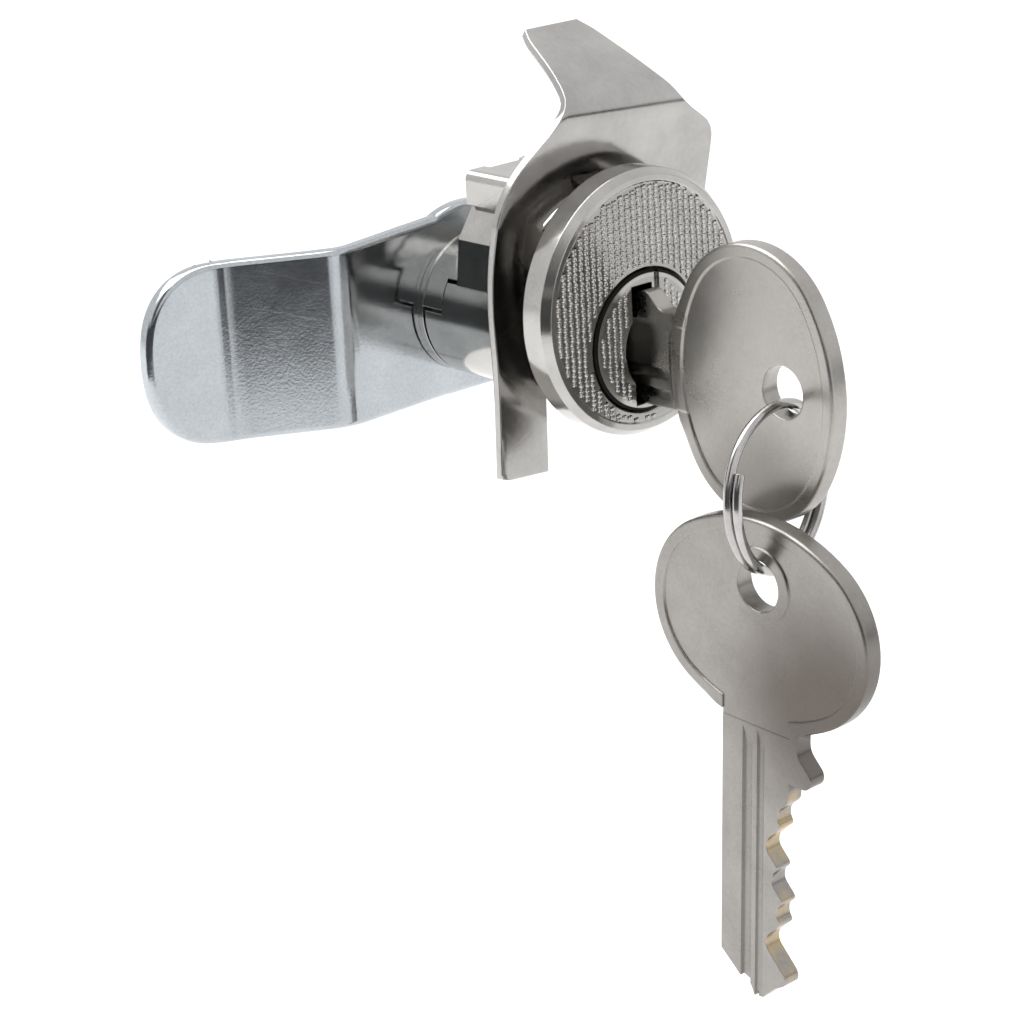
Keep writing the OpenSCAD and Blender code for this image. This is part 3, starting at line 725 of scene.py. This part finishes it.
# on the left side the bow's recess is closed towards the blade by a shallow wedge
bowWedge = {
    "middle": (-21.23, -1.4), "radii": (13.78, 15.2), "span": (-5.14, 2.9), "top": -0.898, "low": -0.795,
    "flatTo": 0.5, "thick": 0.16, "round": 0.05, "steps": (24, 9),
}
deselectAll()
stepsLong, stepsAcross = bowWedge["steps"]
bpy.ops.mesh.primitive_grid_add(x_subdivisions=stepsLong, y_subdivisions=stepsAcross, size=2)
wedge = takeOver("bowWedge")
for vertex in wedge.data.vertices:
    across = (vertex.co.y + 1) / 2
    height = bowWedge["span"][0] + (bowWedge["span"][1] - bowWedge["span"][0]) * (vertex.co.x + 1) / 2
    reach = bowWedge["radii"][0] + (bowWedge["radii"][1] - bowWedge["radii"][0]) * across
    along = bowWedge["middle"][0] + math.sqrt(reach ** 2 - (height - bowWedge["middle"][1]) ** 2)
    fall = max(0.0, (across - bowWedge["flatTo"]) / (1 - bowWedge["flatTo"]))
    fall = fall * fall * (3 - 2 * fall)
    side = bowWedge["top"] + (bowWedge["low"] - bowWedge["top"]) * fall
    vertex.co = Vector((side, along, height)) * mm
activate(wedge)
bpy.ops.object.mode_set(mode="EDIT")
bpy.ops.mesh.select_all(action="SELECT")
bpy.ops.mesh.extrude_region_move(TRANSFORM_OT_translate={"value": (bowWedge["thick"] * mm, 0, 0)})
bpy.ops.mesh.select_all(action="SELECT")
bpy.ops.mesh.normals_make_consistent(inside=False)
bpy.ops.object.mode_set(mode="OBJECT")
softenEdges(wedge, bowWedge["round"], 2)
applyAll(wedge)
levelShade(wedge, 60)
activate(key)
wedge.select_set(True)
bpy.ops.object.join()

cutFace = key.data.attributes.new("cutFace", "FLOAT", "FACE")
for face in key.data.polygons:
    middle = face.center / mm
    isBare = abs(face.normal.x) < keyShape["bareSlant"] and abs(middle.x) < keyShape["bareHalf"]
    cutFace.data[face.index].value = 1.0 if isBare and isInCuts(middle) else 0.0
spare = bpy.data.objects.new("keySpare", key.data.copy())
bpy.context.scene.collection.objects.link(spare)
seat = Matrix.Translation(Vector(spareSeat["hole"]) * mm)
seat = seat @ Matrix.Rotation(math.radians(spareSeat["yaw"]), 4, "Z")
seat = seat @ Matrix.Rotation(math.radians(spareSeat["tilt"]), 4, "X")
seat = seat @ Matrix.Rotation(math.radians(spareSeat["lean"]), 4, "Y")
seat = seat @ Matrix.Rotation(math.pi, 4, Vector((0, 1, -1)))
seat = seat @ Matrix.Translation(Vector(spareSeat["keyHole"]) * -mm)
spare.data.transform(seat)
finishPiece(key, "plug", "key_nickel", keyNickel, "key_inserted")
# the spare key gets the darker copy of the key finish, painted shade
finishPiece(spare, "spare", "key_nickel", shadedSpareNickel, "key_spare")
print("keys cut")


# polyline with its corners eased: points are (along, height, reach of the easing on each side)
def easedLine(points, steps=10):
    line = [Vector(points[0][:2])]
    for before, corner, after in zip(points, points[1:], points[2:]):
        here, reach = Vector(corner[:2]), corner[2]
        first = here + (Vector(before[:2]) - here).normalized() * reach
        second = here + (Vector(after[:2]) - here).normalized() * reach
        for step in range(steps + 1):
            share = step / steps
            line.append(first * (1 - share) ** 2 + here * 2 * share * (1 - share) + second * share ** 2)
    line.append(Vector(points[-1][:2]))
    return line


def heightAt(line, along):
    for first, second in zip(line, line[1:]):
        low, high = sorted((first.x, second.x))
        if low <= along <= high and high > low:
            return first.y + (second.y - first.y) * (along - first.x) / (second.x - first.x)
    return line[0].y if abs(along - line[0].x) < abs(along - line[-1].x) else line[-1].y


# cam: pressed step with soft bends, a squarer tip that leans back a little, and rolled edges
camShape = {
    "bends": (-14.3, -23.0), "flat": 18.9, "step": 5.1, "solidEase": (0.87, 0.43), "softEase": (1.9, 1.7),
    "cuts": 7, "cutSpread": 1.15, "tipMiddle": -22.8, "tipSquare": 2.5, "tipLean": 0.17, "tipShort": 0.91,
    "lower": 0.45, "slim": 0.02, "slimFrom": 8, "slimOver": 5, "round": 0.5,
    "hubClear": 6.5, "hubLow": -7.95, "hubEnd": -12,
}


def camSurface(ease):
    first, second = camShape["bends"]
    flat, far = camShape["flat"], camShape["flat"] + camShape["step"]
    return easedLine([(20, flat), (first, flat, ease[0]), (second, far, ease[1]), (-40, far)])


def isCamRim(first, second):
    return min(math.hypot(first.x, first.z), math.hypot(second.x, second.z)) > camShape["hubClear"]


cam = copyOfNode("cam", "camBlade")
activate(cam)
bpy.ops.object.mode_set(mode="EDIT")
bpy.ops.mesh.select_all(action="SELECT")
bpy.ops.mesh.dissolve_limited(angle_limit=math.radians(1.0))
for bend, ease in zip(camShape["bends"], camShape["softEase"]):
    for cut in range(camShape["cuts"] + 1):
        spread = camShape["cutSpread"]
        place = bend - ease * spread + 2 * spread * ease * cut / camShape["cuts"]
        bpy.ops.mesh.select_all(action="SELECT")
        bpy.ops.mesh.bisect(plane_co=(place * mm, 0, 0), plane_no=(1, 0, 0))
bpy.ops.object.mode_set(mode="OBJECT")
solidLine, softLine = camSurface(camShape["solidEase"]), camSurface(camShape["softEase"])
for vertex in cam.data.vertices:
    x, z = vertex.co.x / mm, vertex.co.z / mm
    vertex.co.y += (heightAt(softLine, x) - heightAt(solidLine, x)) * mm
    share = min(1, max(0, (-x - camShape["slimFrom"]) / camShape["slimOver"]))
    share = share * share * (3 - 2 * share)
    z = z * (1 - camShape["slim"] * share) - camShape["lower"] * share
    middle = camShape["tipMiddle"]
    if x < middle:
        reach = math.hypot(x - middle, z + camShape["lower"])
        cosine, sine = abs(x - middle) / reach, abs(z + camShape["lower"]) / reach
        power = camShape["tipSquare"]
        grow = (cosine ** power + sine ** power) ** (-1 / power)
        vertex.co.y += (middle - x) * camShape["tipLean"] * mm
        x = middle + (x - middle) * grow * camShape["tipShort"]
        z = (z + camShape["lower"]) * grow - camShape["lower"]
    if x > camShape["hubEnd"]:
        z = max(z, camShape["hubLow"])
    vertex.co.x, vertex.co.z = x * mm, z * mm
roundEdges(cam, isCamRim, camShape["round"], 4, False)
levelShade(cam, 35)
finishPiece(cam, "plug", "cam_zinc", camZinc, "cam")
print("cam made")

# mounting clip: one grid, slit up to the opening, laid on the bowed sheet, then given its thickness
clipShape = {
    "middle": (0.0, 0.0, 3.15), "turn": 4.0, "thick": 0.7, "opening": 9.4, "slot": 6.6, "edge": 0.2,
    "columns": 16, "topRows": 26, "arcRows": 14, "slotRows": 8, "legRows": 12, "crowd": 1.5,
    "top": 21.58, "slotEnd": -5, "tipTilt": 0.15, "tipFrom": 18, "tipTall": 3.6, "tipHalf": 3.5,
    "sheet": [(-15.5, 1.8), (-5.4, 2.2, 2.5), (1.8, 3.2, 3.5), (16.3, 0.83, 1.5), (18.6, 3.9, 1.6),
              (22.5, 10.3)],
    "left": [(-14.0, -10.6), (-13.8, -11.7, 0.1), (-12.2, -11.7, 0.5), (9.9, -11.7, 3.6), (15.8, -5.0, 3.4),
             (20.9, -3.6, 0.4), (21.6, -3.0)],
    "right": [(-11.4, 10.6), (-11.2, 11.7, 0.1), (-9.6, 11.7, 0.5), (12.9, 11.7, 1.4), (15.2, 7.9, 1.4),
              (17.5, 6.2, 1.2), (20.9, 3.9, 0.3), (21.6, 3.1)],
    "legEnds": (-13.95, -11.35),
}


# heights of the grid's rows, from the grip down to the end of the opening's slot
def clipRows():
    opening, end, count = clipShape["opening"], clipShape["slotEnd"], clipShape["topRows"]
    arcRows, slotRows = clipShape["arcRows"], clipShape["slotRows"]
    top = []
    for step in range(count, 0, -1):
        top.append(opening + (clipShape["top"] - opening) * (1 - (1 - step / count) ** clipShape["crowd"]))
    steepest = math.asin(clipShape["slot"] / opening)
    arc = [opening * math.cos(steepest * step / arcRows) for step in range(arcRows + 1)]
    rest = [arc[-1] + (end - arc[-1]) * step / slotRows for step in range(1, slotRows + 1)]
    return top + arc + rest, len(top)


upperRows, openRow = clipRows()
legRows = clipShape["legRows"]
rowCount = len(upperRows) + legRows
half = clipShape["columns"] // 2
slotEnd = clipShape["slotEnd"]
deselectAll()
bpy.ops.mesh.primitive_grid_add(x_subdivisions=clipShape["columns"], y_subdivisions=rowCount - 1, size=2)
clip = takeOver("clipSheet")


def gridSpot(vertex):
    column = round((vertex.co.x + 1) / 2 * clipShape["columns"])
    row = rowCount - 1 - round((vertex.co.y + 1) / 2 * (rowCount - 1))
    return column, row


bpy.ops.object.mode_set(mode="EDIT")
bpy.ops.mesh.select_mode(type="EDGE")
bpy.ops.mesh.select_all(action="DESELECT")
bpy.ops.object.mode_set(mode="OBJECT")
for edge in clip.data.edges:
    spots = [gridSpot(clip.data.vertices[index]) for index in edge.vertices]
    edge.select = all(column == half and row >= openRow for column, row in spots)
bpy.ops.object.mode_set(mode="EDIT")
bpy.ops.mesh.edge_split(type="EDGE")
bpy.ops.object.mode_set(mode="OBJECT")
onLeft = {index: face.center.x < 0 for face in clip.data.polygons for index in face.vertices}
sheetLine, leftLine, rightLine = (easedLine(clipShape[key]) for key in ("sheet", "left", "right"))
for vertex in clip.data.vertices:
    column, row = gridSpot(vertex)
    isLeft = column < half or (column == half and onLeft[vertex.index])
    if row < len(upperRows):
        height = upperRows[row]
    else:
        legEnd = clipShape["legEnds"][0 if isLeft else 1]
        share = (row - len(upperRows) + 1) / legRows
        height = slotEnd + (legEnd - slotEnd) * (1 - (1 - share) ** clipShape["crowd"])
    opening = 0.0
    if row >= openRow:
        inside = clipShape["opening"] ** 2 - height ** 2
        opening = min(clipShape["slot"], math.sqrt(max(0, inside))) if height > 0 else clipShape["slot"]
    outer = heightAt(leftLine if isLeft else rightLine, height)
    inner = -opening if isLeft else opening
    share = column / half if isLeft else (column - half) / half
    spot = outer + (inner - outer) * share if isLeft else inner + (outer - inner) * share
    tilt = clipShape["tipTilt"] * spot / clipShape["tipHalf"]
    raised = height + tilt * max(0, height - clipShape["tipFrom"]) / clipShape["tipTall"]
    vertex.co = Vector((spot, heightAt(sheetLine, raised), raised)) * mm
wall = clip.modifiers.new("thickness", "SOLIDIFY")
wall.thickness = clipShape["thick"] * mm
wall.offset = -1
wall.use_even_offset = True
softenEdges(clip, clipShape["edge"], 3)
applyAll(clip)
place = Matrix.Translation(Vector(clipShape["middle"]) * mm)
clip.data.transform(place @ Matrix.Rotation(math.radians(clipShape["turn"]), 4, "Y"))
levelShade(clip, 60)
finishPiece(clip, "clip", "clip_nickel", clipNickel, "mounting_clip")
print("clip made")

# studio: pale floor, bright dome, dark room on the camera's side
studio = {
    "floorDrop": 0.045, "floorSize": 6.0, "floorTone": (0.86, 0.86, 0.86), "cardTone": (0.06, 0.06, 0.062),
    "worldLight": 0.95, "topSize": 0.9, "topPower": 9.0, "topPlace": (-0.15, 0.35, 0.8),
}


def makeStage(name, material):
    piece = takeOver(name)
    piece.data.materials.append(material)
    return piece


def flatMaterial(name, colour, roughness):
    material = bpy.data.materials.new(name)
    material.use_nodes = True
    shader = material.node_tree.nodes["Principled BSDF"]
    shader.inputs["Base Color"].default_value = (*colour, 1)
    shader.inputs["Roughness"].default_value = roughness
    return material


lowest = cadBox[0][2]
floorLevel = lowest - studio["floorDrop"]
deselectAll()
bpy.ops.mesh.primitive_plane_add(size=studio["floorSize"], location=(0, 0, floorLevel))
makeStage("floor", flatMaterial("paleFloor", studio["floorTone"], 0.7))

# dark cards, seen only in reflections: angles round the object, fading at their ends
darkCards = (
    {"name": "darkWall", "radius": 0.32, "azimuth": (-128, -4), "height": (floorLevel, 0.09),
     "fadeAngle": 14, "fadeHeight": 0.05, "sunk": 0.045},
    {"name": "darkHigh", "radius": 0.3, "azimuth": (-100, -50), "height": (0.03, 0.5),
     "fadeAngle": 14, "fadeHeight": 0.06, "sunk": 0.0},
    {"name": "darkRight", "radius": 0.3, "azimuth": (27, 60), "height": (-0.045, 0.0),
     "fadeAngle": 5, "fadeHeight": 0.012, "sunk": 0.0},
)


def cardMaterial(card):
    material = flatMaterial(card["name"], studio["cardTone"], 0.9)
    tree = material.node_tree
    shader = tree.nodes["Principled BSDF"]
    split = addNode(tree, "ShaderNodeSeparateXYZ")
    join(tree, addNode(tree, "ShaderNodeTexCoord").outputs["Object"], split.inputs[0])
    x, y, z = split.outputs
    turn = mathNode(tree, "ARCTAN2", x, mathNode(tree, "MULTIPLY", y, -1.0))
    soft = math.radians(card["fadeAngle"]) / 2
    low, high = (math.radians(angle) for angle in card["azimuth"])
    across = band(tree, turn, low + soft, high - soft, soft)
    half = card["fadeHeight"] / 2
    bottom, top = card["height"]
    upright = band(tree, z, bottom + half - card["sunk"], top - half, half)
    clear = addNode(tree, "ShaderNodeBsdfTransparent")
    mix = addNode(tree, "ShaderNodeMixShader")
    join(tree, mathNode(tree, "MULTIPLY", across, upright), mix.inputs[0])
    join(tree, clear.outputs[0], mix.inputs[1])
    join(tree, shader.outputs[0], mix.inputs[2])
    join(tree, mix.outputs[0], tree.nodes["Material Output"].inputs["Surface"])
    return material


for card in darkCards:
    bottom, top = card["height"]
    deselectAll()
    bpy.ops.mesh.primitive_circle_add(vertices=180, radius=card["radius"], location=(0, 0, bottom))
    bpy.ops.object.transform_apply(location=True, rotation=False, scale=False)
    bpy.ops.object.mode_set(mode="EDIT")
    bpy.ops.mesh.select_all(action="SELECT")
    bpy.ops.mesh.extrude_region_move(TRANSFORM_OT_translate={"value": (0, 0, top - bottom)})
    bpy.ops.object.mode_set(mode="OBJECT")
    sheet = makeStage(card["name"], cardMaterial(card))
    sheet.visible_camera = False
    sheet.visible_shadow = False
    sheet.visible_diffuse = False

deselectAll()
bpy.ops.object.light_add(type="AREA", location=studio["topPlace"])
topLight = bpy.context.object
topLight.name = "topLight"
topLight.data.shape = "SQUARE"
topLight.data.size = studio["topSize"]
topLight.data.energy = studio["topPower"]
topLight.rotation_euler = Vector(studio["topPlace"]).to_track_quat("Z", "Y").to_euler()

world = bpy.data.worlds.new("studio")
world.use_nodes = True
world.node_tree.nodes["Background"].inputs["Color"].default_value = (1, 1, 1, 1)
world.node_tree.nodes["Background"].inputs["Strength"].default_value = studio["worldLight"]
bpy.context.scene.world = world
bpy.context.scene.view_settings.view_transform = "Standard"
print("studio ready")

# camera where the photograph was taken from
shot = {
    "azimuth": -40.9, "elevation": 18.46, "roll": -3.40, "distance": 0.28691,
    "focalPixels": 3479.66, "imagePixels": 1024, "sensor": 36.0, "originPixel": (624.82, 334.45),
}


def placeCamera(shot):
    turn, lift, roll = (math.radians(shot[key]) for key in ("azimuth", "elevation", "roll"))
    back = Vector((math.sin(turn) * math.cos(lift), -math.cos(turn) * math.cos(lift), math.sin(lift)))
    level = Vector((math.cos(turn), math.sin(turn), 0))
    above = back.cross(level)
    right = level * math.cos(roll) + above * math.sin(roll)
    up = above * math.cos(roll) - level * math.sin(roll)
    middle = shot["imagePixels"] / 2
    reach = shot["distance"]
    across = (shot["originPixel"][0] - middle) / shot["focalPixels"] * reach
    upward = (middle - shot["originPixel"][1]) / shot["focalPixels"] * reach
    place = back * reach - right * across - up * upward
    data = bpy.data.cameras.new("camera")
    camera = bpy.data.objects.new("camera", data)
    bpy.context.scene.collection.objects.link(camera)
    data.sensor_width = shot["sensor"]
    data.lens = shot["focalPixels"] * shot["sensor"] / shot["imagePixels"]
    data.clip_start = 0.01
    data.clip_end = 50
    camera.matrix_world = Matrix((right, up, back)).transposed().to_4x4()
    camera.location = place
    bpy.context.scene.camera = camera


placeCamera(shot)
print("camera placed")
